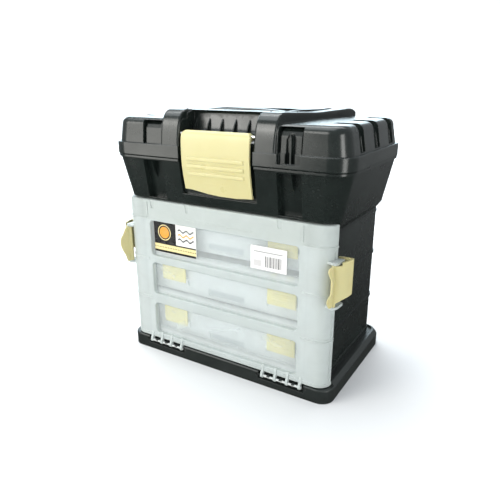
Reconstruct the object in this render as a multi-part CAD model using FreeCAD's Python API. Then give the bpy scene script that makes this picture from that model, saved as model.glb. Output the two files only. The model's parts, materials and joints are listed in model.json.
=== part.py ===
import FreeCAD, Part
import math
import os

V = FreeCAD.Vector
os.makedirs("parts", exist_ok=True)

# ---------------------------------------------------------------------------
# Driving dimensions, mm.  While modelling, x = 0 is the middle of the cabinet,
# y = 0 the plinth's front face, +y the back, z = 0 the floor.  Every piece is
# moved by -Y_MID in y when it is written, so the origin is the middle of the
# footprint on the floor.
# ---------------------------------------------------------------------------
Y_MID = 98.5

WALL = 2.5              # general moulding wall
PL_X, PL_Y, PL_Z = 166.0, 206.5, 24.0        # plinth half width, depth, height
PL_FRONT = 19.5         # plinth height under the door
BODY_X, BODY_Y = 150.0, 201.0                # body half width, back face
BODY_TOP = 231.0
JAMB_X, JAMB_Y0, JAMB_Y1 = 158.0, 21.0, 25.0
BIN_LOW_X, BIN_TOP_X = 158.6, 173.5          # top bin half widths
BIN_TOP = 294.0
LIP_TOP = 296.0
LID_X, LID_Y0, LID_Y1 = 176.7, -3.4, 201.0   # lid band
BAND_Z0, BAND_Z1 = 296.5, 313.5
HINGE_Y, HINGE_Z = 204.0, 296.2              # lid hinge axis
LATCH_X = 51.0                               # main latch half width
LATCH_Y, LATCH_Z = 5.0, 329.0                # main latch pin axis
HANDLE_Y, HANDLE_Z = 122.0, 350.0            # carry handle pivot axis
DOOR_X, DOOR_Y0, DOOR_Y1 = 160.0, 3.0, 20.0
DOOR_Z0, DOOR_Z1, DOOR_R = 21.0, 235.0, 17.0
ROD_Y, ROD_Z, ROD_R = 1.0, 15.0, 1.6         # door hinge axis and rod
ARM_X = (69.0, 88.5, 106.5, 125.0)           # door hinge arms, each side
CLIP_X = (78.75, 97.5, 115.75)               # plinth clips between the arms
WINDOWS = ((28.5, 78.0), (93.0, 142.0), (153.0, 205.0))
WIN_X, WIN_DEPTH = 117.6, 6.0
SIDE_PIN = (161.5, 7.0)                      # side latch pivot in plan
CASE_Z = (28.5, 97.5, 166.5)                 # underside of each case
CASE_X, CASE_FLANGE = 138.0, 146.0
CASE_Y0, CASE_Y1 = 20.0, 192.0
TRAY_H, CASE_H = 56.0, 61.0
RUN = 0.05                                   # radial running clearance

made = {}


# ---------------------------------------------------------------------------
# Small modelling helpers
# ---------------------------------------------------------------------------
def box(x0, x1, y0, y1, z0, z1):
    return Part.makeBox(x1 - x0, y1 - y0, z1 - z0, V(x0, y0, z0))


def rr(x0, x1, y0, y1, z, r):
    k = r * (1 - math.sqrt(0.5))

    def ln(a, b):
        return Part.LineSegment(V(a[0], a[1], z), V(b[0], b[1], z)).toShape()

    def arc(a, m, b):
        return Part.Arc(V(a[0], a[1], z), V(m[0], m[1], z), V(b[0], b[1], z)).toShape()

    return Part.Wire([
        ln((x0 + r, y0), (x1 - r, y0)), arc((x1 - r, y0), (x1 - k, y0 + k), (x1, y0 + r)),
        ln((x1, y0 + r), (x1, y1 - r)), arc((x1, y1 - r), (x1 - k, y1 - k), (x1 - r, y1)),
        ln((x1 - r, y1), (x0 + r, y1)), arc((x0 + r, y1), (x0 + k, y1 - k), (x0, y1 - r)),
        ln((x0, y1 - r), (x0, y0 + r)), arc((x0, y0 + r), (x0 + k, y0 + k), (x0 + r, y0))])


def slab(x0, x1, y0, y1, z0, z1, r):
    return Part.Face(rr(x0, x1, y0, y1, z0, r)).extrude(V(0, 0, z1 - z0))


def taper(a, b):
    return Part.makeLoft([rr(*a), rr(*b)], True, True)


def plate(x0, x1, z0, z1, y0, y1, r):
    """Rounded rectangle seen from the front, y0 to y1 deep."""
    s = slab(x0, x1, z0, z1, -y1, -y0, r)
    s.rotate(V(0, 0, 0), V(1, 0, 0), 90)
    return s


def yz(pts, x0, x1):
    p = [V(x0, a, b) for a, b in pts]
    return Part.Face(Part.makePolygon(p + [p[0]])).extrude(V(x1 - x0, 0, 0))


def xz(pts, y0, y1):
    p = [V(a, y0, b) for a, b in pts]
    return Part.Face(Part.makePolygon(p + [p[0]])).extrude(V(0, y1 - y0, 0))


def xy(pts, z0, z1):
    p = [V(a, b, z0) for a, b in pts]
    return Part.Face(Part.makePolygon(p + [p[0]])).extrude(V(0, 0, z1 - z0))


def smooth_yz(curve, closing, x0, x1):
    """Solid along x from a smooth run of points closed by straight runs."""
    c = Part.BSplineCurve()
    c.interpolate([V(x0, a, b) for a, b in curve])
    pts = [V(x0, a, b) for a, b in [curve[-1]] + closing + [curve[0]]]
    edges = [c.toShape()] + [Part.LineSegment(p, q).toShape() for p, q in zip(pts, pts[1:])]
    return Part.Face(Part.Wire(edges)).extrude(V(x1 - x0, 0, 0))


def smooth_xy(curve, closing, z0, z1):
    c = Part.BSplineCurve()
    c.interpolate([V(a, b, z0) for a, b in curve])
    pts = [V(a, b, z0) for a, b in [curve[-1]] + closing + [curve[0]]]
    edges = [c.toShape()] + [Part.LineSegment(p, q).toShape() for p, q in zip(pts, pts[1:])]
    return Part.Face(Part.Wire(edges)).extrude(V(0, 0, z1 - z0))


def cylx(x0, x1, y, z, r):
    return Part.makeCylinder(r, x1 - x0, V(x0, y, z), V(1, 0, 0))


def cylz(x, y, z0, z1, r):
    return Part.makeCylinder(r, z1 - z0, V(x, y, z0), V(0, 0, 1))


def flip(s):
    return s.mirror(V(0, 0, 0), V(1, 0, 0))


def both(*shapes):
    out = []
    for s in shapes:
        out += [s, flip(s)]
    return out


def tidy(s):
    try:
        t = s.removeSplitter()
        if t.isValid() and t.Solids:
            s = t
    except Exception:
        pass
    return s


def soft(s, pick, r):
    """Fillet the edges that pick() accepts, if the kernel can."""
    edges = [e for e in s.Edges if pick(e)]
    if not edges:
        return s
    try:
        t = s.makeFillet(r, edges)
        if t.isValid() and len(t.Solids) == len(s.Solids) and 0 < t.Volume:
            return t
    except Exception:
        pass
    return s


def at(e, tol=0.02, **want):
    """True when every point of the edge lies on the given planes."""
    b = e.BoundBox
    lim = {"x": (b.XMin, b.XMax), "y": (b.YMin, b.YMax), "z": (b.ZMin, b.ZMax)}
    return all(abs(lim[k][0] - v) < tol and abs(lim[k][1] - v) < tol for k, v in want.items())


def put(name, *shapes):
    out = []
    for s in shapes:
        for k in s.Solids:
            k = k.copy()
            k.translate(V(0, -Y_MID, 0))
            out.append(k)
    shape = out[0] if len(out) == 1 else Part.makeCompound(out)
    shape.exportStep("parts/%s.step" % name)
    made[name] = shape
    b = shape.BoundBox
    print("%-24s solids %2d valid %s vol %9.0f  x %.1f %.1f  y %.1f %.1f  z %.1f %.1f" % (
        name, len(out), all(k.isValid() for k in out), shape.Volume,
        b.XMin, b.XMax, b.YMin, b.YMax, b.ZMin, b.ZMax))


# ---------------------------------------------------------------------------
# Plinth: hollow moulded tray, sloping shoulder, lowered front under the door,
# clips that hold the door's hinge rods
# ---------------------------------------------------------------------------
plinth = slab(-PL_X, PL_X, 0, PL_Y, 0, 18, 18).fuse(
    taper((-PL_X, PL_X, 0, PL_Y, 18, 18), (-161, 161, 3, 203.4, PL_Z, 15)))
plinth = tidy(plinth)
plinth = plinth.cut([box(-170, 170, -5, 20.6, PL_FRONT, 30)])
trough = slab(-157.5, 157.5, 0, 203.0, 21.3, 30, 14).cut(
    [slab(-150.4, 150.4, 0, 201.4, 21, 31, 15), box(-160, 160, -5, 26, 20, 31)])
plinth = plinth.cut([trough])
plinth = soft(plinth, lambda e: at(e, y=0) and e.BoundBox.ZMin > 17 and e.BoundBox.XLength > 200, 1.5)
hollow = slab(-163, 163, 3, 203.5, -1, 15.8, 15).fuse(
    slab(-147.5, 147.5, 27, 198, 10, 20.8, 12))
keep = both(box(60, 134, 0, 9.8, 3, 17))
ribs = [box(x - 1.2, x + 1.2, 2, 204, 4, 21) for x in (-55, 55)]
ribs += [box(-164, 164, 101.3, 103.7, 4, 21)]
feet = [cylz(x, y, 9, 22, 5.5) for x in (-143, 143) for y in (45, 180)]
stay = slab(-164, 164, 1.5, 204.5, 0, 15.9, 16).fuse(slab(-149, 149, 24, 200, 10, 21.5, 12))
webs = ribs[0].fuse(ribs[1:] + feet).common(stay)
hollow = hollow.cut(keep + [webs])
plinth = plinth.cut([hollow])
# openings in the front edge for the hinge groups, with a C clip round each rod
plinth = plinth.cut(both(box(63, 131, -1, 6.6, 9, 25)))
clips = []
for x in CLIP_X:
    c = cylx(x - 2, x + 2, ROD_Y, ROD_Z, 2.8).fuse(
        yz([(ROD_Y + 0.4, 12.3), (7.2, 11.6), (7.2, 17.4), (ROD_Y + 0.4, 17.7)], x - 2, x + 2))
    clips.append(c)
clips = both(*clips)
plinth = plinth.fuse(clips)
bores = both(cylx(60, 134, ROD_Y, ROD_Z, ROD_R + RUN))
mouths = both(*[box(x - 3.5, x + 3.5, ROD_Y - 6, ROD_Y, ROD_Z - 1.1, ROD_Z + 1.1) for x in CLIP_X])
plinth = plinth.cut(bores + mouths)
plinth = plinth.cut([cylz(x, y, -1, 30, 1.8) for x in (-143, 143) for y in (45, 180)])
plinth = tidy(plinth)
put("base_plinth", plinth)

# ---------------------------------------------------------------------------
# Cabinet body: two sides and a back, floor, door jamb, case rails
# ---------------------------------------------------------------------------
body = slab(-BODY_X, BODY_X, -20, BODY_Y, PL_Z, BODY_TOP, 15)
flare = taper((-BODY_X, BODY_X, -20, BODY_Y, 220, 15), (-JAMB_X, JAMB_X, -20, BODY_Y, BODY_TOP, 16))
beads = [slab(-151.4, 151.4, -20, 202.4, z, z + 4, 16.4) for z in (81, 151)]
beads += [slab(-151.0, 151.0, -20, 202.0, z, z + 3, 16) for z in (26, 214)]
body = body.fuse([flare] + beads)
body = body.cut([box(-200, 200, -30, JAMB_Y1, 0, 300)])
body = body.fuse([plate(-JAMB_X, JAMB_X, PL_Z, BODY_TOP, JAMB_Y0, JAMB_Y1, 1.0)])
back_beads = [box(x - 3, x + 3, 200, 202.0, 30, 216) for x in (-75, 0, 75)]
body = body.fuse(back_beads)
inside = slab(-147.5, 147.5, -30, 198.5, PL_Z + WALL, 240, 12.5)
body = body.cut([inside])
rails = []
for z0 in CASE_Z:
    z = z0 + TRAY_H - 2.5 - 0.2
    rails.append(xz([(148, z - 7), (148, z), (141.2, z), (141.2, z - 2)], 27, 190))
rails = both(*rails)
bosses = [cylz(x, y, PL_Z, 38, 3.9) for x in (-143.2, 143.2) for y in (45, 180)]
bridge = box(-148, 148, JAMB_Y0, 34, 228.7, BODY_TOP)
body = body.fuse(rails + bosses + [bridge])
body = body.cut([cylz(x, y, 20, 36, 1.5) for x in (-143, 143) for y in (45, 180)])
body = body.cut([cylz(x, y, 224.8, 240, 1.3) for x in (-151.2, 151.2) for y in (50, 180)])
body = tidy(body)
body = soft(body, lambda e: e.BoundBox.ZLength > 100 and abs(abs(e.BoundBox.XMin) - JAMB_X) < 0.05
            and e.BoundBox.XLength < 0.05, 0.9)
put("cabinet_body", body)

# pan head screws: plinth to body from below, bin to body from inside the bin


def screw(x, y, z, up, shank, head, length):
    """z is the seat of the head; up = +1 drives upward."""
    s = Part.makeCylinder(shank, length, V(x, y, z), V(0, 0, up))
    h = Part.makeCylinder(head, 1.6, V(x, y, z), V(0, 0, -up))
    h = soft(h, lambda e: abs(e.BoundBox.ZMin - (z - 1.6 * up)) < 0.01 and e.BoundBox.ZLength < 0.01
             and e.BoundBox.XLength > head, 0.9)
    slot = box(x - 0.35, x + 0.35, y - head * 0.7, y + head * 0.7, z - 1.7, z - 0.9) if up > 0 else \
        box(x - 0.35, x + 0.35, y - head * 0.7, y + head * 0.7, z + 0.9, z + 1.7)
    slot2 = box(x - head * 0.7, x + head * 0.7, y - 0.35, y + 0.35, z - 1.7, z - 0.9) if up > 0 else \
        box(x - head * 0.7, x + head * 0.7, y - 0.35, y + 0.35, z + 0.9, z + 1.7)
    return s.fuse([h]).cut([slot, slot2])


put("plinth_screws", *[screw(x, y, 9, 1, 1.5, 3.6, 26.5) for x in (-143, 143) for y in (45, 180)])

# ---------------------------------------------------------------------------
# Top bin: tapered, with front pockets, latch recess, lip and hinge knuckles
# ---------------------------------------------------------------------------


def front(z):
    """y of the bin's sloping front face."""
    return (BIN_TOP - z) / 7.0 - 1.0


binn = taper((-BIN_LOW_X, BIN_LOW_X, front(231), 200.4, 231, 20),
             (-BIN_TOP_X, BIN_TOP_X, front(BIN_TOP), 200.8, BIN_TOP, 25))
binn = binn.cut([box(-200, 200, -20, JAMB_Y1 - 3.1, 230, 237)])
core = taper((-156.1, 156.1, front(233.5) + WALL, 197.9, 233.5, 17.5),
             (-171.7, 171.7, front(297) + WALL, 198.3, 297, 22.5))
core = core.cut([box(-200, 200, -20, 24.4, 230, 239.5)])


def front_pocket(x0, x1, z0, z1, d, r):
    p = plate(x0, x1, z0, z1, -20, 30, r)
    return p.common(yz([(-20, z0 - 1), (front(z0 - 1) + d, z0 - 1), (front(z1 + 1) + d, z1 + 1), (-20, z1 + 1)],
                       x0 - 1, x1 + 1))


lip = slab(-175.3, 175.3, -2.6, 202.0, 293, LIP_TOP, 26)
binn = binn.fuse([lip])
pockets = both(front_pocket(86.5, 118.5, 238.6, 291.4, 8.4, 0.8))
backs = both(front_pocket(84.2, 120.8, 236.3, 293.6, 10.7, 2.6))
fins = both(yz([(front(291.6) + 8.8, 291.6), (front(291.6) + 0.3, 291.6), (front(276) + 3.0, 276), (front(266) + 8.8, 266)],
               104.0, 105.4))
recess = yz([(-20, 250), (10.2, 250), (6.4, 300), (-20, 300)], -57, 57)
recess_back = yz([(-20, 247.4), (12.9, 247.4), (8.9, 301), (-20, 301)], -60, 60)
core = core.cut(backs + [recess_back])
binn = binn.cut([recess] + pockets)
binn = binn.fuse(fins)
catch = yz([(11.0, 257), (8.7, 258.2), (8.6, 260.6), (10.6, 263.2)], -30, 30)
binn = binn.fuse([catch])
binn = binn.cut([core])
knuckles, clear = [], []
for x0, x1 in ((70.0, 79.7), (98.3, 108.0)):
    knuckles.append(cylx(x0, x1, HINGE_Y, HINGE_Z, 3.0).fuse(
        yz([(201.0, 288), (205.0, 293.6), (206.2, 295.0), (204.0, 297.5), (201.0, LIP_TOP)], x0, x1)))
knuckles = both(*knuckles)
gaps = both(cylx(79.7, 98.3, HINGE_Y, HINGE_Z, 3.4))
binn = binn.cut(gaps).fuse(knuckles)
binn = binn.cut(both(cylx(69, 109, HINGE_Y, HINGE_Z, 1.6)))
binn = binn.cut([cylz(x, y, 220, 240, 1.6) for x in (-151.2, 151.2) for y in (50, 180)])
binn = tidy(binn)
put("upper_container", binn)
put("container_screws", *[screw(x, y, 233.5, -1, 1.3, 2.9, 8.5) for x in (-151.2, 151.2) for y in (50, 180)])

# ---------------------------------------------------------------------------
# Lid: band, dome, two long ribs that flare to the back, crowned plateau with a
# finger scoop in front and a well for the folded carry handle
# ---------------------------------------------------------------------------


def rib_plan(inset, z0, z1):
    """Plan outline of the right rib, z0 to z1."""
    i = inset
    pts = [(56 + i, -6), (84.5 - i, -6), (86.5 - i, 40), (91 - i, 95), (98 - i, 150), (107 - i, 196),
           (103 - i, 203 - i), (84 + i, 203 - i), (79 + i, 196), (70 + i, 130), (61 + i, 60), (57 + i, 25)]
    return xy(pts, z0, z1)


rib_side = smooth_yz([(-2.4, 300), (-1.6, 322), (1.2, 338), (5.2, 349), (12, 355.8), (26, 358), (47, 356.9),
                      (75, 355.7), (105, 354.4), (142, 355.1), (171, 355.8), (190, 355.2), (199, 350.5),
                      (203, 341)], [(203, 316), (190, 300)], 40, 125)
rib = rib_side.common(rib_plan(0, 298, 362))
rib = soft(rib, lambda e: e.BoundBox.ZMax > 349 and e.BoundBox.YMax < 180 and e.BoundBox.YLength > 8
           and e.BoundBox.XLength > 0.3, 2.4)
rib = tidy(rib)

band = slab(-LID_X, LID_X, LID_Y0, LID_Y1, BAND_Z0, BAND_Z1, 27)
band = soft(band, lambda e: e.BoundBox.ZLength < 0.01, 1.2)
dome = taper((-172.6, 172.6, 0.4, 198.6, 310, 23), (-166.4, 166.4, 3.8, 193, 346.2, 20))
dome = soft(dome, lambda e: e.BoundBox.ZLength < 0.01 and e.BoundBox.ZMin > 340, 10)
plateau = smooth_yz([(20, 353.0), (30, 356.4), (60, 356.6), (105, 356.8), (150, 356.4), (180, 355.2), (192, 350.0),
                     (197, 340)], [(197, 330), (20, 330)], -80, 80)
plateau = plateau.common(xy([(-58, 20), (58, 20), (66, 95), (78, 150), (81, 197), (-81, 197), (-78, 150),
                             (-66, 95)], 320, 365))
lid = dome.fuse([band, plateau] + both(rib))

# hollow underside
core = slab(-174.0, 174.0, -0.7, 198.3, 290, 309, 24.3).fuse([
    taper((-169.8, 169.8, 3.2, 195.8, 308.9, 20), (-163.6, 163.6, 6.8, 190, 342.6, 16))])
core = core.fuse([box(-60, 60, 45, 62, 335, 353.4).fuse([box(-74, 74, 134, 186, 335, 352.6)])])

scoop_curve = [(25.2, 330), (29.0, 331.2), (31.0, 334.4), (32.6, 340), (34.2, 346), (35.4, 350.6), (35.7, 353.2),
               (34.6, 355.2), (32.2, 356.6), (31.4, 358)]
scoop = smooth_yz(scoop_curve, [(31.4, 366), (-12, 366), (-12, 330)], -55.9, 55.9)
scoop_back = yz([(-12, 327.2), (28, 327.2), (33.2, 331), (35.2, 338), (37.0, 345), (38.4, 350.5), (38.6, 354),
                 (-12, 354)], -59, 59)
nose = yz([(-12, 290), (3.8, 290), (3.8, 319), (11.6, 324.5), (11.6, 331), (-12, 331)], -55.9, 55.9)
nose_back = yz([(-12, 290), (6.6, 290), (6.6, 317.5), (14.6, 323), (14.6, 328), (-12, 328)], -61, 61)
pivot_block = box(-64, 64, -6, 13, 314, 345)
well = box(-61, 61, 66, 130, 343, 366)
well = soft(well, lambda e: e.BoundBox.ZLength > 15, 4)
well = soft(well, lambda e: at(e, z=343), 2.5)
well_back = box(-71, 71, 62.5, 134, 339.8, 366)

# panels between the ribs and the corner blocks, with narrow gaps at each side


def dome_front(z):
    return 0.4 + (z - 310) * 3.4 / 36.2


def lid_panel(x0, x1, z0, d, grow=0.0):
    p = plate(x0 - grow, x1 + grow, z0 - grow, 343.5 + grow, -20, 60, 1.2)
    return p.common(yz([(-20, 296), (dome_front(296) + d, 296), (dome_front(333) + d, 333),
                        (dome_front(338) + d + 2.0, 338), (dome_front(342) + d + 7, 342),
                        (dome_front(342) + d + 14, 344 + grow), (-20, 350)], x0 - grow - 1, x1 + grow + 1))


panels = [lid_panel(86.3, 117.2, 313.6, 3.4), flip(lid_panel(86.3, 117.2, 313.6, 3.4))]
slits = both(lid_panel(86.3, 89.2, 313.6, 6.6), lid_panel(115.6, 118.2, 313.6, 6.6))
panel_backs = both(lid_panel(84.5, 120, 311, 9.0))
notch = box(88, 117.3, -10, 1.2, 301.5, 314)
arch = plate(96.2, 109, 302, 330, -20, 7.4, 0.8).fuse(
    xz([(96.2, 328), (109, 328), (106.6, 334), (103, 338), (98.8, 334)], -20, 7.4))
arch_fin = xz([(101.8, 302), (103.8, 302), (103.8, 331), (102.8, 335), (101.8, 331)], 2.2, 7.6)
arch_back = box(93.5, 112, -10, 10.0, 299, 341)
notch_back = box(85.5, 120, -10, 3.8, 299, 314)


def side_groove(y0, y1, d, grow=0.0):
    pts = [(172.0 - d, 314.6 - grow), (169.9 - d, 325), (168.2 - d, 333.0), (165.4 - d, 338.4), (160.4 - d, 342.8),
           (153 - d, 345.2 - 0.45 * d), (140, 346.2 - 0.62 * d), (133 - grow, 347.4), (133 - grow, 372), (190, 372),
           (190, 314.6 - grow)]
    g = xz(pts, y0 - grow, y1 + grow)
    return soft(g, lambda e: e.BoundBox.XLength < 3 and e.BoundBox.ZLength > 9 and e.BoundBox.YLength < 0.01
                and e.BoundBox.XMax < 172, 1.0)


grooves, groove_backs = [], []
for y0, y1 in ((41, 58), (92, 112), (149, 167)):
    grooves += both(side_groove(y0, y1, 4.0))
    groove_backs += both(side_groove(y0, y1, 6.4, 2.4))

core = core.cut([scoop_back, nose_back, pivot_block, well_back, arch_back, notch_back] + panel_backs + groove_backs)
lid = lid.cut([scoop, nose, well, notch] + panels)
lid = lid.cut(slits + [arch] + grooves)
# small gusset fins standing against the back of the scoop
gussets = [yz([(24.0, 329), (29.6, 340.5), (33.4, 346.2), (36.4, 346.2), (33.4, 332), (31.5, 329)], x - 0.9, x + 0.9)
           for x in (-50.7, -30.4, -10.1, 10.1, 30.4, 50.7)]
lid = lid.fuse(gussets + [arch_fin])
# a row of low round studs along the inner edge of each rib
studs = [cylz(62.6 + 0.085 * (y - 29), y, z - 2.5, z + 0.7, 1.5)
         for y, z in ((29, 358.0), (45, 357.05), (61, 356.3), (77, 355.6), (93, 354.95), (110, 354.45))]
studs = [soft(s, lambda e: e.BoundBox.ZLength < 0.01 and e.BoundBox.ZMin > 354.4 + 0.5, 0.6) for s in studs]
lid = lid.fuse(both(*studs))
lid = lid.cut([core])
# main latch pin bores, handle pin bores
lid = lid.cut([cylx(-61, 61, LATCH_Y, LATCH_Z, 2.0), cylx(-68.2, 68.2, HANDLE_Y, HANDLE_Z, 2.5)])
lid_knuckles = both(cylx(80.0, 98.0, HINGE_Y, HINGE_Z, 3.0).fuse(
    yz([(199.5, 297.2), (199.5, 302), (202, 300.6), (206.4, 298.2), (204, 295)], 80.0, 98.0)))
lid = lid.cut(both(cylx(69.6, 80.0, HINGE_Y, HINGE_Z, 3.4), cylx(98.0, 108.4, HINGE_Y, HINGE_Z, 3.4)))
lid = lid.fuse(lid_knuckles).cut(both(cylx(79, 99, HINGE_Y, HINGE_Z, 1.6 + RUN)))
lid = tidy(lid)
put("lid", lid)
put("lid_hinge_pins", *both(cylx(70, 108, HINGE_Y, HINGE_Z, 1.6)))

# ---------------------------------------------------------------------------
# Main latch: wide plate hung on a pin across the lid's front, three raised bars
# ---------------------------------------------------------------------------
outer = [(5.0, 252.5), (1.4, 268), (-1.6, 285), (-2.8, 300), (-2.9, 315), (-1.9, 326), (0.6, 331.8), (3.6, 333.8)]
latch = smooth_yz(outer, [(7.4, 333.4), (8.6, 329), (5.0, 324.6), (0.4, 322), (0.1, 300), (1.4, 285),
                          (4.6, 268), (6.6, 258.4), (8.2, 257.4), (8.2, 252.5)], -LATCH_X, LATCH_X)
latch = latch.fuse([cylx(-LATCH_X, LATCH_X, LATCH_Y, LATCH_Z, 4.3)])
latch = latch.common(plate(-LATCH_X, LATCH_X, 240, 334, -20, 30, 7.0))
wave = xz([(-60, 240), (60, 240), (60, 255.0), (44, 254.0), (18, 251.5), (0, 252.8), (-16, 254.0), (-40, 257.6),
           (-60, 258.0)], -20, 30)
latch = latch.cut([wave])


def latch_face(z):
    for (ya, za), (yb, zb) in zip(outer, outer[1:]):
        if za <= z <= zb:
            return ya + (yb - ya) * (z - za) / (zb - za)
    return -2.9


bars = []
for z in (279.8, 289.4, 299.0):
    b = Part.makeBox(86, 6, 5.2, V(-43, latch_face(z) - 1.6, z - 2.6))
    b = soft(b, lambda e: abs(e.BoundBox.YMin - (latch_face(z) - 1.6)) < 0.02 and e.BoundBox.YLength < 0.02, 1.3)
    b = b.common(box(-60, 60, -30, latch_face(z) + 1.2, 200, 400))
    bars.append(b)
latch = latch.fuse(bars)
latch = latch.fuse([plate(-20, 20, 257.5, 270, 1.2, 5.0, 2.0).common(
    yz([(-5, 250), (4.3, 256), (0.4, 271.5), (-5, 280), (-5, 300), (30, 300), (30, 250)], -25, 25))])
latch = latch.cut([cylx(-60, 60, LATCH_Y, LATCH_Z, 2.0 + RUN)])
latch = tidy(latch)
put("main_latch", latch)
put("main_latch_pin", cylx(-60.5, 60.5, LATCH_Y, LATCH_Z, 2.0))

# ---------------------------------------------------------------------------
# Carry handle: crowned grip bar and two arms, folded flat in the lid's well
# ---------------------------------------------------------------------------
grip_prof = [(-59.6, 345.2), (59.6, 345.2), (59.6, 355.6)]
top = Part.Arc(V(59.6, 69, 355.6), V(0, 69, 358.8), V(-59.6, 69, 355.6)).toShape()
edges = [Part.LineSegment(V(59.6, 69, 345.2), V(59.6, 69, 355.6)).toShape(), top,
         Part.LineSegment(V(-59.6, 69, 355.6), V(-59.6, 69, 345.2)).toShape(),
         Part.LineSegment(V(-59.6, 69, 345.2), V(59.6, 69, 345.2)).toShape()]
grip = Part.Face(Part.Wire(edges)).extrude(V(0, 15, 0))
grip = soft(grip, lambda e: e.BoundBox.XLength > 100, 3.6)
arm = yz([(69, 345.2), (HANDLE_Y, 344.8), (HANDLE_Y, 355.2), (69, 355.2)], 51.6, 59.6).fuse(
    [cylx(51.6, 59.6, HANDLE_Y, HANDLE_Z, 5.2)])
arm = tidy(arm)
arm = soft(arm, lambda e: abs(e.BoundBox.XMin - 51.6) < 0.01 and e.BoundBox.XLength < 0.01
           and e.BoundBox.YLength > 20, 1.6)
handle = grip.fuse(both(arm)).cut([cylx(-62, 62, HANDLE_Y, HANDLE_Z, 2.5 + RUN)])
handle = tidy(handle)
put("carry_handle", handle)
put("handle_pivot_pins", *both(cylx(51.2, 67.6, HANDLE_Y, HANDLE_Z, 2.5)))

# ---------------------------------------------------------------------------
# Front door: shallow see-through tray, three sunk windows, wings that carry the
# side latches, arms that carry the hinge rods
# ---------------------------------------------------------------------------


def door_plan(grow, y_back, z0, z1):
    """Door outline in plan, grown outward by grow."""
    x, y0, r = DOOR_X + grow, DOOR_Y0 - grow, DOOR_R + grow
    k = r * math.sqrt(0.5)
    cx, cy = x - r, y0 + r
    p = [V(-x, y_back, z0), V(-x, cy, z0), V(-cx, y0, z0), V(cx, y0, z0), V(x, cy, z0), V(x, y_back, z0)]
    e = [Part.Arc(p[1], V(-cx - k, cy - k, z0), p[2]).toShape(),
         Part.LineSegment(p[2], p[3]).toShape(),
         Part.Arc(p[3], V(cx + k, cy - k, z0), p[4]).toShape()]
    if y_back > cy + 1e-6:
        e = [Part.LineSegment(p[0], p[1]).toShape()] + e + [Part.LineSegment(p[4], p[5]).toShape()]
    e.append(Part.LineSegment(p[5] if y_back > cy + 1e-6 else p[4], p[0] if y_back > cy + 1e-6 else p[1]).toShape())
    return Part.Face(Part.Wire(e)).extrude(V(0, 0, z1 - z0))


door = door_plan(0, DOOR_Y1, DOOR_Z0, DOOR_Z1)
door = soft(door, lambda e: e.BoundBox.ZLength < 0.01 and e.BoundBox.YMax < DOOR_Y1 - 0.01
            or (e.BoundBox.ZLength < 0.01 and e.BoundBox.YLength > 3 and e.BoundBox.XLength > 3), 1.6)
trims = []
for z0, z1 in ((DOOR_Z0, 25.4), (84.0, 85.4), (87.0, 88.2), (146.6, 148.6), (207.0, 209.0)):
    t = door_plan(0.8, DOOR_Y1, z0, z1)
    if z0 > 30:
        t = t.cut([box(-123, 123, -10, 30, 0, 300)])
    trims.append(t)
door = door.fuse(trims)
pits = [plate(-WIN_X, WIN_X, z0, z1, -10, DOOR_Y0 + WIN_DEPTH, 6.0) for z0, z1 in WINDOWS]
floors = [plate(-WIN_X - 1.8, WIN_X + 1.8, z0 - 1.8, z1 + 1.8, -10, DOOR_Y0 + WIN_DEPTH + 1.8, 7.8)
          for z0, z1 in WINDOWS]
cavity = door_plan(-2.0, DOOR_Y1 + 5, DOOR_Z0 + 1.8, DOOR_Z1 - 2.0).cut(floors)
door = door.cut(pits)
door = soft(door, lambda e: abs(e.BoundBox.YMin - DOOR_Y0) < 0.02 and e.BoundBox.YLength < 0.02
            and abs(e.BoundBox.XMin) < WIN_X + 0.1 and abs(e.BoundBox.XMax) < WIN_X + 0.1
            and e.BoundBox.ZMin > 28 and e.BoundBox.ZMax < 206, 1.3)
# short trapezoid marks and an upright strip in the top band, upright slots by the rear edge
marks = [xz([(a, 236), (a + 2, 223.5), (b - 2, 223.5), (b, 236)], -5, DOOR_Y0 + 0.9)
         for a, b in ((-116, -106), (-54.5, -46.5), (86, 95))]
slots = both(*[box(158.3, 163, 13.4, 16.0, z0, z1) for z0, z1 in ((29, 80), (91, 123), (188, 205))])
door = door.cut(marks + slots)
door = door.fuse(both(box(120.4, 122.6, DOOR_Y0 - 0.8, DOOR_Y0 + 1, 212, 233)))
door = door.fuse([box(-52, 52, DOOR_Y0 - 0.5, DOOR_Y0 + 1, 213.0, 214.4)])
wing = [(147.5, 8.6), (152, 6.4), (157.6, 4.6), (160, 3.7), (163.2, 3.7), (165.3, 5.0), (167.3, 10), (168.0, 23.6),
        (167.0, 24.4), (160.2, 24.4), (158.9, 23.4), (158.9, 17), (152, 14)]
wings = []
for z0, z1 in ((133.0, 136.4), (189.4, 192.2)):
    w = xy(wing, z0, z1)
    w = soft(w, lambda e: e.BoundBox.ZLength > 2 and e.BoundBox.XMin > 166, 0.8)
    wings.append(w)
door = door.fuse(both(*wings))
arms = []
for x in ARM_X:
    arms.append(cylx(x - 1.6, x + 1.6, ROD_Y, ROD_Z, 2.9).fuse([
        yz([(-1.9, 15.2), (-0.9, 19.4), (2.2, 24.4), (5.4, 24.4), (5.4, 20.8), (3.85, 15.2)], x - 1.6, x + 1.6),
        yz([(DOOR_Y0 + 0.6, 23.4), (DOOR_Y0 - 2.0, 23.4), (DOOR_Y0 - 1.7, 25.4), (DOOR_Y0 + 0.6, 30.6)], x - 1.6,
           x + 1.6)]))
door = door.fuse(both(*arms))
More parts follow.
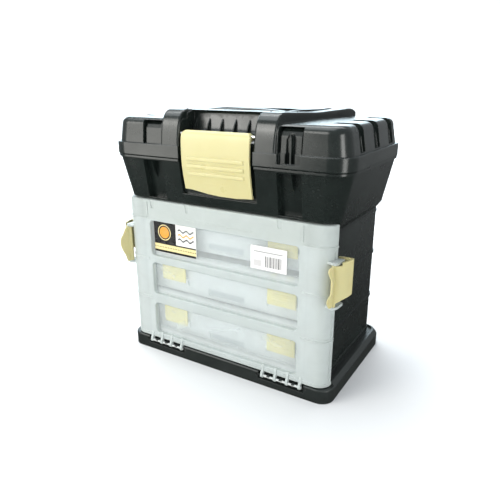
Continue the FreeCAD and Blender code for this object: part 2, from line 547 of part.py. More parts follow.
# the bottom wall stops short so that it swings below the lowest case
door = door.cut([cavity, box(-149, 149, 9.6, 25, DOOR_Z0 - 1, 27)])
door = door.cut(both(cylx(60, 134, ROD_Y, ROD_Z, ROD_R), cylz(SIDE_PIN[0], SIDE_PIN[1], 120, 200, 1.5)))
door = tidy(door)
put("front_door", door)
put("door_hinge_rods", *both(cylx(66.6, 127.4, ROD_Y, ROD_Z, ROD_R)))
put("label_sticker", plate(-116.3, -41.0, 158.0, 204.2, DOOR_Y0 + WIN_DEPTH - 0.25, DOOR_Y0 + WIN_DEPTH, 3.0))
put("price_label", plate(46.0, 98.5, 163.5, 195.0, DOOR_Y0 + WIN_DEPTH - 0.2, DOOR_Y0 + WIN_DEPTH, 0.8))

# ---------------------------------------------------------------------------
# Side latches: a plate that wraps the door's rounded corner and hooks behind the
# body's jamb, and a thumb tab in front of the pivot whose free edge bows outward
# ---------------------------------------------------------------------------
Z0, Z1 = 136.8, 193.2
BARREL_R = 3.3
outer = [(160.4, 3.9), (163.2, 3.5), (166.6, 4.6), (169.6, 6.8), (172.6, 10.6), (174.9, 15.6), (176.4, 21.4), (177.3, 27.6)]
side = smooth_xy(outer, [(176.4, 30.6), (161.0, 30.6), (158.5, 29.4), (158.5, 27.0), (173.6, 26.6), (174.6, 25.2),
                         (173.9, 20.6), (172.4, 15.8), (170.2, 11.4), (167.4, 8.0), (163.8, 6.2), (160.6, 6.2)], Z0, Z1)
side = soft(side, lambda e: e.BoundBox.ZLength < 0.01 and e.BoundBox.XLength > 12 and e.BoundBox.YMin < 5, 0.7)
# cut the lower edge away on the slant and let the upper wing pass
side = side.cut([yz([(3.0, 130), (3.0, 140.4), (5.6, 143.6), (9.0, 146.0), (14, 147.4), (26, 148.4), (32, 151),
                     (40, 151), (40, 130)], 164.6, 182),
                 yz([(12, 130), (12, 148.4), (26, 148.4), (32, 151), (40, 151), (40, 130)], 150, 164.7),
                 box(150, 169.4, -5, 26.4, 189.0, 200), cylz(SIDE_PIN[0], SIDE_PIN[1], 189.0, 200, 9.2)])
side = side.fuse([cylz(SIDE_PIN[0], SIDE_PIN[1], Z0, 189.0, BARREL_R)])
sections = []
for z, x, y in ((136.8, 160.6, -1.6), (139.5, 159.9, -4.4), (143, 159.5, -6.0), (147, 159.8, -7.2), (151, 161.5, -8.1),
                (155, 163.7, -8.8), (160, 165.5, -9.5), (166, 166.1, -9.9), (171, 165.9, -9.4), (175, 164.9, -8.6),
                (179, 162.4, -7.8), (183, 160.2, -7.3), (186, 160.0, -5.9), (188.6, 161.4, -2.0)):
    rx, ry = SIDE_PIN[0], SIDE_PIN[1] - 1.0
    L = math.hypot(x - rx, y - ry)
    ux, uy = (x - rx) / L, (y - ry) / L
    nx, ny = -uy, ux
    pts = [(rx + 1.25 * nx, ry + 1.25 * ny), (x - 0.9 * ux + 0.9 * nx, y - 0.9 * uy + 0.9 * ny), (x, y),
           (x - 0.9 * ux - 0.9 * nx, y - 0.9 * uy - 0.9 * ny), (rx - 1.25 * nx, ry - 1.25 * ny)]
    sections.append(Part.makePolygon([V(a, b, z) for a, b in pts + pts[:1]]))
tab = Part.makeLoft(sections, True, False, False)
side = side.fuse([tab])
side = side.cut([cylz(SIDE_PIN[0], SIDE_PIN[1], 120, 200, 1.5 + RUN)])
side = tidy(side)
put("side_latch_right", side)
put("side_latch_left", flip(side))
pin = cylz(SIDE_PIN[0], SIDE_PIN[1], 132.4, 193.0, 1.5)
put("side_latch_pins", *both(pin))

# ---------------------------------------------------------------------------
# Three cases on the body's rails: tray, cover, rear hinge pin, two dividers in
# each row, two front latches on pins
# ---------------------------------------------------------------------------
MID_Y = 106.0        # fixed wall that splits the tray into a front and a back row
DIV_X = (-46.0, 46.0)
CL_X0, CL_X1 = 67.5, 109.7
for n, z0 in enumerate(CASE_Z, 1):
    zt = z0 + TRAY_H
    tray = slab(-CASE_X, CASE_X, CASE_Y0, CASE_Y1, z0, zt, 7)
    tray = soft(tray, lambda e: at(e, z=z0), 2.0)
    flange = slab(-CASE_FLANGE, CASE_FLANGE, CASE_Y0 + 2, CASE_Y1, zt - 2.5, zt, 6)
    tray = tray.fuse([flange])
    rooms = [slab(-CASE_X + 2, CASE_X - 2, CASE_Y0 + 2, MID_Y - 1.3, z0 + 2, zt + 5, 4.5),
             slab(-CASE_X + 2, CASE_X - 2, MID_Y + 1.3, CASE_Y1 - 2, z0 + 2, zt + 5, 4.5)]
    tray = tray.cut(rooms)
    # upright grooves that hold the dividers
    grooves = []
    for x in DIV_X:
        for y in (CASE_Y0 + 1.1, MID_Y - 1.4, MID_Y + 0.6, CASE_Y1 - 2.1):
            grooves.append(box(x - 1.15, x + 1.15, y, y + (1.0 if y > MID_Y + 40 or y < MID_Y - 40 else 0.8), z0 + 1.95,
                               zt + 1))
    tray = tray.cut(grooves)
    # shallow finger recess low on the front
    tray = tray.cut([plate(-30, 30, z0 + 4.5, z0 + 15.5, CASE_Y0 - 1, CASE_Y0 + 1.0, 3.0)])
    # lugs for the front latches, knuckles at the back
    lugs = []
    for x in (CL_X0 - 2.6, CL_X1 + 0.3):
        lugs.append(yz([(CASE_Y0 + 0.5, z0 + 11), (16.6, z0 + 17), (15.8, z0 + 20), (16.6, z0 + 22.6),
                        (CASE_Y0 + 0.5, z0 + 26)], x, x + 2.3))
    tray = tray.fuse(both(*lugs))
    tray = tray.cut(both(cylx(CL_X0 - 3, CL_X1 + 3, 18.0, z0 + 20, 1.2)))
    KY, KZ = CASE_Y1 + 2.6, zt + 0.2
    tk, ck, tgap, cgap = [], [], [], []
    for x0, x1 in ((40, 52), (78, 90)):
        tk.append(cylx(x0, x1, KY, KZ, 2.2).fuse(yz([(CASE_Y1 - 0.5, zt - 8), (KY + 1.2, zt - 1.9), (KY, zt + 0.5),
                                                       (CASE_Y1 - 0.5, zt)], x0, x1)))
    ck.append(cylx(52.3, 77.7, KY, KZ, 2.2).fuse(yz([(CASE_Y1 - 0.5, zt + 3.6), (KY + 1.0, zt + 2.1), (KY, zt - 0.6),
                                                       (CASE_Y1 - 0.5, zt + 0.6)], 52.3, 77.7)))
    tray = tray.fuse(both(*tk))
    tray = tray.cut(both(cylx(52, 78, KY, KZ, 2.6)) + both(cylx(30, 100, KY, KZ, 1.0)))
    tray = tidy(tray)
    put("case_%d_tray" % n, tray)

    cz0, cz1 = zt + 0.3, z0 + CASE_H
    cover = slab(-CASE_X, CASE_X, CASE_Y0, CASE_Y1, cz0, cz1, 8)
    cover = soft(cover, lambda e: at(e, z=cz1), 1.6)
    cover = cover.cut([slab(-CASE_X + 1.6, CASE_X - 1.6, CASE_Y0 + 1.6, CASE_Y1 - 1.6, cz0 - 1, cz1 - 1.6, 6.4)])
    cover = cover.cut([slab(-120, 120, 38, 176, cz1 - 0.5, cz1 + 1, 10)])
    # catch tabs in front of the cover for the latch hooks
    tabs = [yz([(CASE_Y0 + 0.5, cz0 + 0.8), (18.9, cz0 + 1.2), (18.9, cz1 - 1.6), (CASE_Y0 + 0.5, cz1 - 0.8)], x, x + 10)
            for x in (72, 95)]
    cover = cover.fuse(both(*tabs) + both(*ck))
    cover = cover.cut(both(cylx(39.7, 52.3, KY, KZ, 2.6), cylx(77.7, 90.3, KY, KZ, 2.6)))
    cover = cover.cut(both(cylx(30, 100, KY, KZ, 1.0)))
    cover = tidy(cover)
    put("case_%d_cover" % n, cover)
    put("case_%d_hinge_pins" % n, *both(cylx(40, 90, KY, KZ, 1.0)))
    parts = []
    for x in DIV_X:
        for y0, y1 in ((CASE_Y0 + 1.25, MID_Y - 0.75), (MID_Y + 0.75, CASE_Y1 - 1.25)):
            d = plate(y0, y1, z0 + 2.15, zt - 5, -1.0, 1.0, 1.2)
            d.rotate(V(0, 0, 0), V(0, 0, 1), 90)
            d.translate(V(x, 0, 0))
            parts.append(d)
    put("case_%d_dividers" % n, *parts)

    hook = smooth_yz([(15.4, z0 + 17.2), (15.0, z0 + 22), (14.9, z0 + 32), (15.1, z0 + 42), (15.3, z0 + 46)],
                     [(17.0, z0 + 46), (17.0, z0 + 24.0), (17.0, z0 + 17.2)], CL_X0, CL_X1)
    hook = soft(hook, lambda e: e.BoundBox.ZLength > 25 and e.BoundBox.YMax < 16, 0.8)
    fork = [yz([(15.2, z0 + 45), (15.2, zt + 4.6), (16.0, zt + 5.0), (18.5, zt + 5.0), (18.5, zt + 4.6 - 0.6),
                (16.8, zt + 4.0), (16.8, z0 + 45)], x, x + 9) for x in (CL_X0 + 5, CL_X1 - 14.2)]
    roll = cylx(CL_X0, CL_X1, 18.0, z0 + 20, 1.95).fuse(box(CL_X0, CL_X1, 16.2, 18.0, z0 + 18.2, z0 + 21.8))
    case_latch = hook.fuse(fork + [roll])
    case_latch = case_latch.fuse([box(CL_X0 + 6, CL_X1 - 6, 14.6, 15.6, z0 + 25 + 3.2 * i, z0 + 26.4 + 3.2 * i)
                                  for i in range(5)])
    case_latch = case_latch.cut([cylx(CL_X0 - 3, CL_X1 + 3, 18.0, z0 + 20, 1.2 + RUN)])
    case_latch = tidy(case_latch)
    put("case_%d_latch_right" % n, case_latch)
    put("case_%d_latch_left" % n, flip(case_latch))
    put("case_%d_latch_pins" % n, *both(cylx(CL_X0 - 2.5, CL_X1 + 2.5, 18.0, z0 + 20, 1.2)))

lo = [min(getattr(s.BoundBox, k) for s in made.values()) for k in ("XMin", "YMin", "ZMin")]
hi = [max(getattr(s.BoundBox, k) for s in made.values()) for k in ("XMax", "YMax", "ZMax")]
print("nodes", len(made), "box", [round(v, 3) for v in lo], [round(v, 3) for v in hi])
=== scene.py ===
import json
import math

import bmesh
import bpy
from mathutils import Matrix, Vector

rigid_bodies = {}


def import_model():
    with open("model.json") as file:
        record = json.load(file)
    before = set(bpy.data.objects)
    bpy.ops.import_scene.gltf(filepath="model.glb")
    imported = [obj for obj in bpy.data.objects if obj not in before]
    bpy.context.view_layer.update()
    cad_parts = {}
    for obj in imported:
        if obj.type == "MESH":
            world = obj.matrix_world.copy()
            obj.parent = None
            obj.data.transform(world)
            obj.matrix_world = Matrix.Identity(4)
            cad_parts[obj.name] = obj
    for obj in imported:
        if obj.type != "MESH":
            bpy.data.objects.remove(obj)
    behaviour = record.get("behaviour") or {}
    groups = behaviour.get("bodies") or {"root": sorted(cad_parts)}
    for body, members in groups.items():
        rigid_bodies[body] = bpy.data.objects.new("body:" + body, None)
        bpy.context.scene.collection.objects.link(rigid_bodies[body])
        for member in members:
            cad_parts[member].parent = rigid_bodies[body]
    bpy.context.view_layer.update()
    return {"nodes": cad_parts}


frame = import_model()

nodes = frame["nodes"]
scene = bpy.context.scene

Y_MID = 0.0985          # metres from the plinth's front face to the origin


# ---------------------------------------------------------------------------
# Shader helpers
# ---------------------------------------------------------------------------
class Sh:
    """Small wrapper that keeps node building short."""

    def __init__(self, name):
        self.mat = bpy.data.materials.new(name)
        self.mat.use_nodes = True
        self.t = self.mat.node_tree
        self.n = self.t.nodes
        self.n.clear()
        self.out = self.n.new("ShaderNodeOutputMaterial")
        self.p = self.n.new("ShaderNodeBsdfPrincipled")
        self.t.links.new(self.p.outputs[0], self.out.inputs[0])
        self.co = self.n.new("ShaderNodeTexCoord").outputs["Object"]
        self._sep = None

    def link(self, a, b):
        self.t.links.new(a, b)

    def axis(self, k):
        if self._sep is None:
            s = self.n.new("ShaderNodeSeparateXYZ")
            self.link(self.co, s.inputs[0])
            self._sep = s
        return self._sep.outputs[k]

    def math(self, op, a, b=None, c=None, clamp=False):
        m = self.n.new("ShaderNodeMath")
        m.operation = op
        m.use_clamp = clamp
        for i, v in enumerate((a, b, c)):
            if v is None:
                continue
            if isinstance(v, (int, float)):
                m.inputs[i].default_value = v
            else:
                self.link(v, m.inputs[i])
        return m.outputs[0]

    def step(self, v, lo, hi):
        """Smooth 0 to 1 as v goes from lo to hi."""
        m = self.n.new("ShaderNodeMapRange")
        m.interpolation_type = "SMOOTHSTEP"
        m.inputs["From Min"].default_value = lo
        m.inputs["From Max"].default_value = hi
        self.link(v, m.inputs["Value"])
        return m.outputs["Result"]

    def band(self, v, lo, hi, soft=0.0002):
        """1 between lo and hi."""
        return self.math("MULTIPLY", self.step(v, lo - soft, lo + soft),
                         self.math("SUBTRACT", 1.0, self.step(v, hi - soft, hi + soft)))

    def rect(self, x0, x1, z0, z1, soft=0.0002, kx="X", kz="Z"):
        return self.math("MULTIPLY", self.band(self.axis(kx), x0, x1, soft), self.band(self.axis(kz), z0, z1, soft))

    def disc(self, x, z, r, soft=0.0003):
        dx = self.math("SUBTRACT", self.axis("X"), x)
        dz = self.math("SUBTRACT", self.axis("Z"), z)
        d = self.math("SQRT", self.math("ADD", self.math("MULTIPLY", dx, dx), self.math("MULTIPLY", dz, dz)))
        return self.math("SUBTRACT", 1.0, self.step(d, r - soft, r + soft)), d

    def noise(self, scale, detail=3.0, rough=0.5, stretch=None, distortion=0.0):
        v = self.n.new("ShaderNodeTexNoise")
        v.inputs["Scale"].default_value = scale
        v.inputs["Detail"].default_value = detail
        v.inputs["Roughness"].default_value = rough
        v.inputs["Distortion"].default_value = distortion
        src = self.co
        if stretch:
            mp = self.n.new("ShaderNodeMapping")
            mp.inputs["Scale"].default_value = stretch
            self.link(self.co, mp.inputs[0])
            src = mp.outputs[0]
        self.link(src, v.inputs["Vector"])
        return v.outputs["Fac"]

    def cells(self, scale, feature="F1"):
        v = self.n.new("ShaderNodeTexVoronoi")
        v.feature = feature
        v.inputs["Scale"].default_value = scale
        self.link(self.co, v.inputs["Vector"])
        return v.outputs["Distance"]

    def remap(self, v, a, b, c, d):
        m = self.n.new("ShaderNodeMapRange")
        for k, x in zip(("From Min", "From Max", "To Min", "To Max"), (a, b, c, d)):
            m.inputs[k].default_value = x
        self.link(v, m.inputs["Value"])
        return m.outputs["Result"]

    def mix(self, f, a, b):
        m = self.n.new("ShaderNodeMix")
        m.data_type = "RGBA"
        for i, v in ((0, f), (6, a), (7, b)):
            if isinstance(v, (int, float)):
                m.inputs[i].default_value = v
            elif isinstance(v, tuple):
                m.inputs[i].default_value = tuple(v) + (1.0,) if len(v) == 3 else v
            else:
                self.link(v, m.inputs[i])
        return m.outputs[2]

    def bump(self, height, strength, dist, prev=None):
        b = self.n.new("ShaderNodeBump")
        b.inputs["Strength"].default_value = strength
        b.inputs["Distance"].default_value = dist
        self.link(height, b.inputs["Height"])
        if prev is not None:
            self.link(prev, b.inputs["Normal"])
        return b.outputs[0]

    def bevel(self, radius, samples=6):
        b = self.n.new("ShaderNodeBevel")
        b.samples = samples
        b.inputs["Radius"].default_value = radius
        return b.outputs[0]

    def edge(self, radius=0.0012):
        """0 on flats, towards 1 on edges, from how far a rounded normal turns."""
        b = self.bevel(radius, 4)
        g = self.n.new("ShaderNodeNewGeometry")
        d = self.n.new("ShaderNodeVectorMath")
        d.operation = "DOT_PRODUCT"
        self.link(b, d.inputs[0])
        self.link(g.outputs["Normal"], d.inputs[1])
        return self.step(self.math("SUBTRACT", 1.0, d.outputs["Value"]), 0.01, 0.22)

    def set(self, **kw):
        for k, v in kw.items():
            s = self.p.inputs[k.replace("_", " ")]
            if isinstance(v, (int, float)):
                s.default_value = v
            elif isinstance(v, tuple):
                s.default_value = tuple(v) + (1.0,) if s.type == "RGBA" else v
            else:
                self.link(v, s)


def dark_plastic(name, low, high, rough=0.25, grain=0.02, spec=0.50):
    """Satin black-green moulded polypropylene: spark-eroded grain, faint flow
    marks, a little dust on what faces up, edges polished by handling."""
    s = Sh(name)
    flow = s.noise(9, 4, 0.55, (1.0, 1.0, 2.4), 0.6)
    fine = s.noise(140, 3, 0.6)
    tone = s.math("ADD", s.math("MULTIPLY", flow, 0.7), s.math("MULTIPLY", fine, 0.3))
    col = s.mix(s.step(tone, 0.32, 0.68), low, high)
    e = s.edge(0.0014)
    wear = s.math("MULTIPLY", e, s.step(s.noise(60, 4, 0.65), 0.42, 0.72))
    col = s.mix(s.math("MULTIPLY", wear, 0.30), col, (0.050, 0.056, 0.054))
    g = s.n.new("ShaderNodeNewGeometry")
    nz = s.n.new("ShaderNodeSeparateXYZ")
    s.link(g.outputs["Normal"], nz.inputs[0])
    up = s.step(nz.outputs["Z"], 0.55, 0.98)
    specks = s.math("SUBTRACT", 1.0, s.step(s.cells(260), 0.02, 0.06))
    dust = s.math("MULTIPLY", up, s.math("MULTIPLY", s.step(s.noise(38, 5, 0.7), 0.56, 0.80), 0.05))
    dust = s.math("ADD", dust, s.math("MULTIPLY", s.math("MULTIPLY", specks, up), 0.05), clamp=True)
    col = s.mix(dust, col, (0.20, 0.21, 0.20))
    s.set(Base_Color=col, Specular_IOR_Level=spec)
    r = s.math("ADD", s.remap(s.noise(22, 4, 0.6), 0.3, 0.7, rough - 0.05, rough + 0.06),
               s.math("MULTIPLY", wear, -0.10))
    s.set(Roughness=s.math("ADD", r, s.math("MULTIPLY", dust, 0.15)))
    b = s.bevel(0.0009)
    b = s.bump(s.noise(1100, 2, 0.5), grain, 0.00004, b)
    b = s.bump(s.noise(11, 2, 0.5), 0.022, 0.0007, b)
    s.link(b, s.p.inputs["Normal"])
    return s.mat


def yellow_plastic(name, base, deep, rough=0.30):
    s = Sh(name)
    flow = s.noise(14, 4, 0.55, (1.6, 1.0, 0.8), 0.8)
    col = s.mix(s.step(flow, 0.3, 0.72), base, deep)
    e = s.edge(0.0012)
    col = s.mix(s.math("MULTIPLY", e, 0.30), col, (0.90, 0.85, 0.56))
    rub = s.step(s.noise(70, 4, 0.6), 0.58, 0.85)
    col = s.mix(s.math("MULTIPLY", rub, 0.035), col, (0.62, 0.56, 0.30))
    s.set(Base_Color=col, Specular_IOR_Level=0.42, Subsurface_Weight=0.12,
          Subsurface_Radius=(0.9, 0.6, 0.25), Subsurface_Scale=0.003)
    s.set(Roughness=s.remap(s.noise(45, 4, 0.6), 0.3, 0.7, rough - 0.04, rough + 0.09))
    b = s.bevel(0.0008)
    b = s.bump(s.noise(1100, 2, 0.5), 0.02, 0.0001, b)
    b = s.bump(s.noise(26, 2, 0.5), 0.02, 0.0006, b)
    s.link(b, s.p.inputs["Normal"])
    return s.mat


def milky(name, base, tint, a_low, a_high, rough=0.36, masks=None, grain=0.03):
    """See-through polypropylene: white haze with a cool tint, cloudier in
    thick places, with scuffs and a fine moulded grain."""
    s = Sh(name)
    cloud = s.noise(18, 5, 0.6, (1.0, 1.0, 1.5), 0.9)
    col = s.mix(s.step(cloud, 0.28, 0.74), base, tint)
    e = s.edge(0.0016)
    col = s.mix(s.math("MULTIPLY", e, 0.5), col, (0.90, 0.92, 0.90))
    scuff = s.step(s.noise(120, 3, 0.6, (1.0, 1.0, 0.4)), 0.62, 0.82)
    haze = s.remap(cloud, 0.3, 0.7, a_low, a_high)
    haze = s.math("ADD", haze, s.math("MULTIPLY", e, 0.16))
    haze = s.math("ADD", haze, s.math("MULTIPLY", scuff, 0.012))
    if masks:
        col, haze = masks(s, col, haze)
    s.set(Base_Color=col, Alpha=s.math("MINIMUM", haze, 1.0), Specular_IOR_Level=0.45)
    s.set(Roughness=s.math("ADD", s.remap(s.noise(50, 4, 0.6), 0.3, 0.7, rough - 0.05, rough + 0.07),
                           s.math("MULTIPLY", scuff, 0.06)))
    b = s.bevel(0.0008)
    b = s.bump(s.noise(900, 2, 0.55), grain, 0.00006, b)
    b = s.bump(s.noise(14, 2, 0.5), 0.006, 0.0008, b)
    s.link(b, s.p.inputs["Normal"])
    s.mat.surface_render_method = "BLENDED"
    return s.mat


def door_masks(s, col, haze):
    """The sunk window panels are thinner and clearer than the frames; the
    frames and bands are a warmer, denser white."""
    y = s.axis("Y")
    x = s.math("ABSOLUTE", s.axis("X"))
    deep = s.math("MULTIPLY", s.step(y, 0.0072 - Y_MID, 0.0084 - Y_MID), s.math("SUBTRACT", 1.0, s.step(x, 0.1165, 0.1185)))
    z = s.axis("Z")
    panes = pane_foot_shadow = None
    for z0, z1 in ((0.0285, 0.078), (0.093, 0.142), (0.153, 0.205)):
        b = s.band(z, z0 + 0.0008, z1 - 0.0008, 0.0008)
        panes = b if panes is None else s.math("MAXIMUM", panes, b)
        # painted shadow band along the bottom of each pane
        pane_foot_shadow_band = s.math("MULTIPLY", s.band(z, z0, z1, 0.0008), s.math("SUBTRACT", 1.0, s.step(z, z0 + 0.002, z0 + 0.012)))
        pane_foot_shadow = pane_foot_shadow_band if pane_foot_shadow is None else s.math("MAXIMUM", pane_foot_shadow, pane_foot_shadow_band)
    deep = s.math("MULTIPLY", deep, panes)
    frame_m = s.math("MULTIPLY", s.math("SUBTRACT", 1.0, deep), s.math("SUBTRACT", 1.0, s.step(x, 0.119, 0.132)))
    col = s.mix(frame_m, col, (0.59, 0.64, 0.625))
    high = s.step(z, 0.2060, 0.2085)
    col = s.mix(s.math("MULTIPLY", high, 0.8), col, (0.56, 0.605, 0.575))
    side = s.step(x, 0.124, 0.150)
    col = s.mix(s.math("MULTIPLY", side, 0.8), col, (0.55, 0.597, 0.577))
    col = s.mix(s.math("MULTIPLY", deep, 0.85), col, (0.86, 0.915, 0.905))
    solid = s.math("MAXIMUM", frame_m, side)
    haze = s.math("ADD", haze, s.math("MULTIPLY", solid, 0.17))
    haze = s.math("SUBTRACT", haze, s.math("MULTIPLY", deep, 0.37))
    # painted shadow: each panel is darker and hazier just above its lower frame, standing in for the soft shade of the
    # gap beneath the case behind it
    pane_foot_shadow = s.math("MULTIPLY", deep, pane_foot_shadow)
    col = s.mix(s.math("MULTIPLY", pane_foot_shadow, 0.7), col, (0.78, 0.82, 0.815))
    haze = s.math("ADD", haze, s.math("MULTIPLY", pane_foot_shadow, 0.34), clamp=True)
    return col, haze


def case_masks(s, col, haze):
    """Painted shade low on each case front: a darker blue-grey patch with soft borders where the finger recess sits,
    standing in for the recess's shade seen through the milky plastic."""
    front = s.math("SUBTRACT", 1.0, s.step(s.axis("Y"), 0.0210 - Y_MID, 0.0216 - Y_MID))
    dark = None
    for z0 in (0.0285, 0.0975, 0.1665):
        r = s.rect(-0.029, 0.029, z0 + 0.0055, z0 + 0.0150, 0.0035)
        dark = r if dark is None else s.math("MAXIMUM", dark, r)
    # painted shade: the recess patches are mixed towards a dark blue-grey
    dark = s.math("MULTIPLY", front, dark)
    return s.mix(s.math("MULTIPLY", dark, 0.75), col, (0.36, 0.42, 0.44)), haze


def steel_mat(name):
    s = Sh(name)
    streak = s.noise(220, 4, 0.6, (0.12, 1.0, 1.0))
    s.set(Base_Color=s.mix(s.step(streak, 0.3, 0.7), (0.50, 0.51, 0.53), (0.66, 0.66, 0.67)), Metallic=1.0,
          Roughness=s.remap(streak, 0.3, 0.7, 0.24, 0.42))
    b = s.bevel(0.0004)
    s.link(s.bump(streak, 0.12, 0.0001, b), s.p.inputs["Normal"])
    return s.mat


def sticker_mat(name):
    """Generic printed film: black field, cream and white blocks, a sun disc
    over waves.  Plain shapes only."""
    s = Sh(name)
    x0, x1, z0, z1 = -0.1163, -0.041, 0.158, 0.2042
    black, cream, white = (0.012, 0.012, 0.013), (0.87, 0.74, 0.36), (0.86, 0.84, 0.80)
    col = s.mix(s.rect(x0, x1, z0, z1), black, black)
    # white block to the right, cream band below it
    col = s.mix(s.rect(x0 + 0.040, x1, z0 + 0.0150, z1), col, white)
    col = s.mix(s.rect(x0, x1, z0 + 0.0040, z0 + 0.0130), col, cream)
    # sun disc with ring on the black field
    d, dist = s.disc(x0 + 0.0195, z0 + 0.0305, 0.0085)
    col = s.mix(d, col, (0.83, 0.36, 0.05))
    ring = s.band(dist, 0.0103, 0.0116, 0.0002)
    col = s.mix(ring, col, cream)
    # waves across the white block
    wx = s.math("SINE", s.math("MULTIPLY", s.axis("X"), 520.0))
    for k, (zc, amp, c) in enumerate(((0.0235, 0.0016, (0.05, 0.05, 0.055)), (0.0300, 0.0016, (0.80, 0.42, 0.08)),
                                      (0.0365, 0.0016, (0.10, 0.11, 0.10)))):
        zz = s.math("SUBTRACT", s.axis("Z"), s.math("MULTIPLY", wx, amp))
        m = s.math("MULTIPLY", s.band(zz, z0 + zc - 0.0011, z0 + zc + 0.0011),
                   s.band(s.axis("X"), x0 + 0.0440, x1 - 0.0040))
        col = s.mix(m, col, c)
    # row of small diamonds in the cream band
    fx = s.math("PINGPONG", s.math("SUBTRACT", s.axis("X"), x0), 0.0030)
    dz = s.math("ABSOLUTE", s.math("SUBTRACT", s.axis("Z"), z0 + 0.0085))
    dm = s.math("SUBTRACT", 1.0, s.step(s.math("ADD", s.math("ABSOLUTE", s.math("SUBTRACT", fx, 0.0015)), dz),
                                        0.0009, 0.0013))
    col = s.mix(s.math("MULTIPLY", dm, 0.85), col, (0.10, 0.085, 0.05))
    edge = s.math("SUBTRACT", 1.0, s.rect(x0 + 0.0007, x1 - 0.0007, z0 + 0.0007, z1 - 0.0007))
    col = s.mix(s.math("MULTIPLY", edge, 0.8), col, (0.80, 0.79, 0.75))
    fade = s.noise(90, 4, 0.6)
    col = s.mix(s.math("MULTIPLY", s.step(fade, 0.45, 0.8), 0.12), col, (0.5, 0.49, 0.46))
    s.set(Base_Color=col, Specular_IOR_Level=0.45, Roughness=s.remap(s.noise(160, 3, 0.6), 0.3, 0.7, 0.24, 0.36))
    s.link(s.bump(s.noise(120, 2, 0.5), 0.05, 0.0003), s.p.inputs["Normal"])
    return s.mat


def paper_mat(name):
    """Plain white retail label: a block of upright bars with no meaning."""
    s = Sh(name)
    x0, x1, z0, z1 = 0.046, 0.0985, 0.1635, 0.195
    paper = s.mix(s.step(s.noise(700, 4, 0.6), 0.3, 0.7), (0.80, 0.775, 0.76), (0.86, 0.84, 0.83))
    bars = None
    pattern = ((0.0, 1.3), (2.2, 0.5), (3.5, 1.0), (5.6, 0.4), (6.7, 1.6), (9.2, 0.6), (10.5, 0.5), (12.0, 1.4),
               (14.4, 0.4), (15.5, 1.1), (17.7, 0.5), (18.9, 1.7), (21.5, 0.6), (22.9, 0.5))
    for a, w in pattern:
        b = s.band(s.axis("X"), x0 + 0.0215 + a * 0.001, x0 + 0.0215 + (a + w) * 0.001, 0.00008)
        bars = b if bars is None else s.math("MAXIMUM", bars, b)
    bars = s.math("MULTIPLY", bars, s.band(s.axis("Z"), z0 + 0.0045, z0 + 0.0190, 0.0001))
    block = s.rect(x0 + 0.005, x0 + 0.0165, z0 + 0.0045, z0 + 0.0125, 0.0002)
    rule = s.rect(x0 + 0.005, x1 - 0.006, z0 + 0.0235, z0 + 0.0246, 0.0001)
    ink = s.math("MAXIMUM", bars, s.math("MAXIMUM", s.math("MULTIPLY", block, 0.30), s.math("MULTIPLY", rule, 0.75)))
    ink = s.math("MULTIPLY", ink, s.remap(s.noise(900, 3, 0.6), 0.3, 0.7, 0.80, 0.97))
    s.set(Base_Color=s.mix(ink, paper, (0.045, 0.043, 0.043)), Specular_IOR_Level=0.35,
          Roughness=s.remap(s.noise(300, 3, 0.6), 0.3, 0.7, 0.48, 0.62))
    s.link(s.bump(s.noise(500, 3, 0.6), 0.06, 0.0001), s.p.inputs["Normal"])
    return s.mat


M = {
    "dark": dark_plastic("dark_satin_plastic", (0.0085, 0.0125, 0.0110), (0.0130, 0.0180, 0.0160)),
    "base": dark_plastic("plinth_satin_plastic", (0.0150, 0.0195, 0.0180), (0.0230, 0.0280, 0.0260), 0.36, 0.03),
    "lid": dark_plastic("lid_satin_plastic", (0.0085, 0.0125, 0.0110), (0.0140, 0.0185, 0.0165), 0.23),
    "yellow": yellow_plastic("latch_yellow_plastic", (0.630, 0.570, 0.290), (0.612, 0.550, 0.270)),
    "yellow2": yellow_plastic("case_latch_yellow_plastic", (0.78, 0.70, 0.22), (0.765, 0.685, 0.205), 0.55),
    "door": milky("door_milky_plastic", (0.72, 0.765, 0.75), (0.66, 0.72, 0.71), 0.56, 0.66, 0.34, door_masks),
    "rod": milky("hinge_rod_milky_plastic", (0.70, 0.72, 0.70), (0.65, 0.68, 0.67), 0.93, 0.98, 0.34),
    "case": milky("case_milky_plastic", (0.765, 0.805, 0.815), (0.735, 0.785, 0.80), 0.84, 0.90, 0.50, case_masks, 0.01),
    "cover": milky("case_cover_milky_plastic", (0.80, 0.84, 0.84), (0.74, 0.79, 0.80), 0.42, 0.55, 0.26),
    "divider": milky("divider_milky_plastic", (0.64, 0.68, 0.68), (0.58, 0.63, 0.63), 0.50, 0.60, 0.32),
    "steel": steel_mat("zinc_plated_steel"),
    "sticker": sticker_mat("generic_sticker_print"),
    "paper": paper_mat("generic_paper_label"),
}


def pick(name):
    if name == "base_plinth":
        return "base"
    if name == "lid":
        return "lid"
    if name in ("cabinet_body", "upper_container", "carry_handle"):
        return "dark"
    if name in ("main_latch", "side_latch_right", "side_latch_left"):
        return "yellow"
    if "_latch_" in name and name.startswith("case") and "pins" not in name:
        return "yellow2"
    if name == "front_door":
        return "door"
    if name == "door_hinge_rods":
        return "rod"
    if name.endswith("_tray"):
        return "case"
    if name.endswith("_cover"):
        return "cover"
    if name.endswith("_dividers"):
        return "divider"
    if name == "label_sticker":
        return "sticker"
    if name == "price_label":
        return "paper"
    return "steel"


for name, o in nodes.items():
    m = M[pick(name)]
    if not o.material_slots:
        o.data.materials.append(m)
    for slot in o.material_slots:
        slot.material = m

# ---------------------------------------------------------------------------
# Stage: pale floor that curves up behind, soft studio light, camera
# ---------------------------------------------------------------------------


def pale(name, c, shade):
    s = Sh(name)
    s.set(Base_Color=s.mix(s.step(s.noise(3, 3, 0.5), 0.3, 0.7), c, shade), Roughness=0.85, Specular_IOR_Level=0.05)
    return s.mat


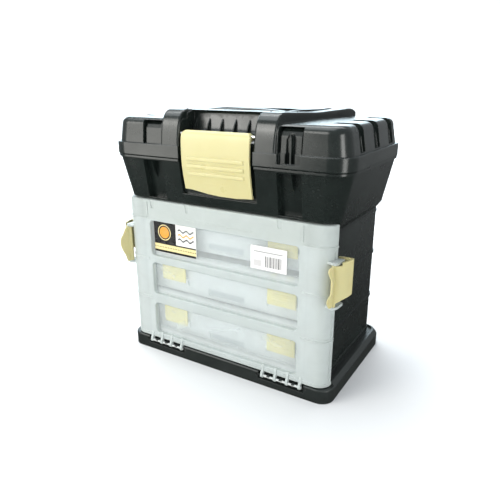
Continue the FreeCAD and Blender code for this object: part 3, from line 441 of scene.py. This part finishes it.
def sweep():
    bm = bmesh.new()
    prof = [(-6.0, 0.0), (2.2, 0.0)]
    for i in range(1, 13):
        a = math.radians(90 * i / 12)
        prof.append((2.2 + 1.6 * math.sin(a), 1.6 * (1 - math.cos(a))))
    prof.append((3.8, 5.0))
    rows = [[bm.verts.new((x, y, z)) for y, z in prof] for x in (-7, 7)]
    for i in range(len(prof) - 1):
        bm.faces.new((rows[0][i], rows[0][i + 1], rows[1][i + 1], rows[1][i]))
    me = bpy.data.meshes.new("floor_sweep")
    bm.normal_update()
    bm.to_mesh(me)
    bm.free()
    for p in me.polygons:
        p.use_smooth = True
    o = bpy.data.objects.new("floor_sweep", me)
    scene.collection.objects.link(o)
    return o


floor = sweep()
floor.data.materials.append(pale("pale_floor", (0.80, 0.80, 0.80), (0.78, 0.78, 0.785)))
floor.rotation_euler = (0, 0, math.radians(31.25))
floor.visible_glossy = False

world = bpy.data.worlds.new("studio")
scene.world = world
world.use_nodes = True
wt = world.node_tree
bg = wt.nodes["Background"]
co = wt.nodes.new("ShaderNodeTexCoord")
sp = wt.nodes.new("ShaderNodeSeparateXYZ")
rp = wt.nodes.new("ShaderNodeValToRGB")
wt.links.new(co.outputs["Generated"], sp.inputs[0])
mr = wt.nodes.new("ShaderNodeMapRange")
mr.inputs["From Min"].default_value = -1.0
wt.links.new(sp.outputs["Z"], mr.inputs["Value"])
wt.links.new(mr.outputs["Result"], rp.inputs[0])
els = rp.color_ramp.elements
els[0].position, els[0].color = 0.30, (0.10, 0.10, 0.10, 1)
els[1].position, els[1].color = 1.0, (0.80, 0.86, 0.92, 1)
e = els.new(0.50)
e.color = (0.62, 0.64, 0.66, 1)
wt.links.new(rp.outputs[0], bg.inputs[0])
bg.inputs[1].default_value = 0.62


def lamp(name, loc, target, sx, sy, energy, color=(1, 1, 1)):
    d = bpy.data.lights.new(name, "AREA")
    d.shape, d.size, d.size_y, d.energy, d.color = "RECTANGLE", sx, sy, energy, color
    o = bpy.data.objects.new(name, d)
    scene.collection.objects.link(o)
    o.location = loc
    o.rotation_euler = (Vector(target) - Vector(loc)).to_track_quat("-Z", "Y").to_euler()
    return o


lamp("front_box", (-1.65, -2.20, 0.55), (0, 0, 0.24), 1.35, 1.75, 31, (1.0, 0.985, 0.93))
lamp("scoop_box", (-1.30, -1.95, 1.42), (0, 0, 0.33), 1.3, 0.7, 20, (1.0, 0.99, 0.95))
lamp("right_box", (2.1, -0.95, 0.40), (0, 0, 0.28), 0.8, 1.1, 20, (0.98, 0.99, 0.96))
lamp("back_box", (-1.5, 2.15, 0.75), (0, 0, 0.33), 3.2, 1.4, 50, (0.74, 0.91, 1.0))
lamp("top_box", (-0.6, 0.1, 2.5), (0, 0, 0.2), 2.8, 2.4, 66, (0.92, 0.975, 1.0))
lamp("background_box", (-0.7, 0.9, 3.0), (-1.7, 2.9, 1.3), 3.6, 1.0, 110, (1.0, 1.0, 1.0))
for n in ("front_box", "scoop_box", "right_box", "back_box", "top_box", "background_box"):
    bpy.data.objects[n].visible_camera = False

cam = bpy.data.cameras.new("camera")
cam.lens, cam.sensor_width = 36.165, 36.0
cam.clip_start, cam.clip_end = 0.02, 60
co_ = bpy.data.objects.new("camera", cam)
scene.collection.objects.link(co_)
co_.location = (0.36169, -0.51258 - Y_MID, 0.39152)
co_.rotation_euler = (math.radians(90 - 18.53), 0, math.radians(31.25))
scene.camera = co_

scene.view_settings.view_transform = "Standard"
scene.view_settings.look = "None"
scene.view_settings.exposure = 0.0
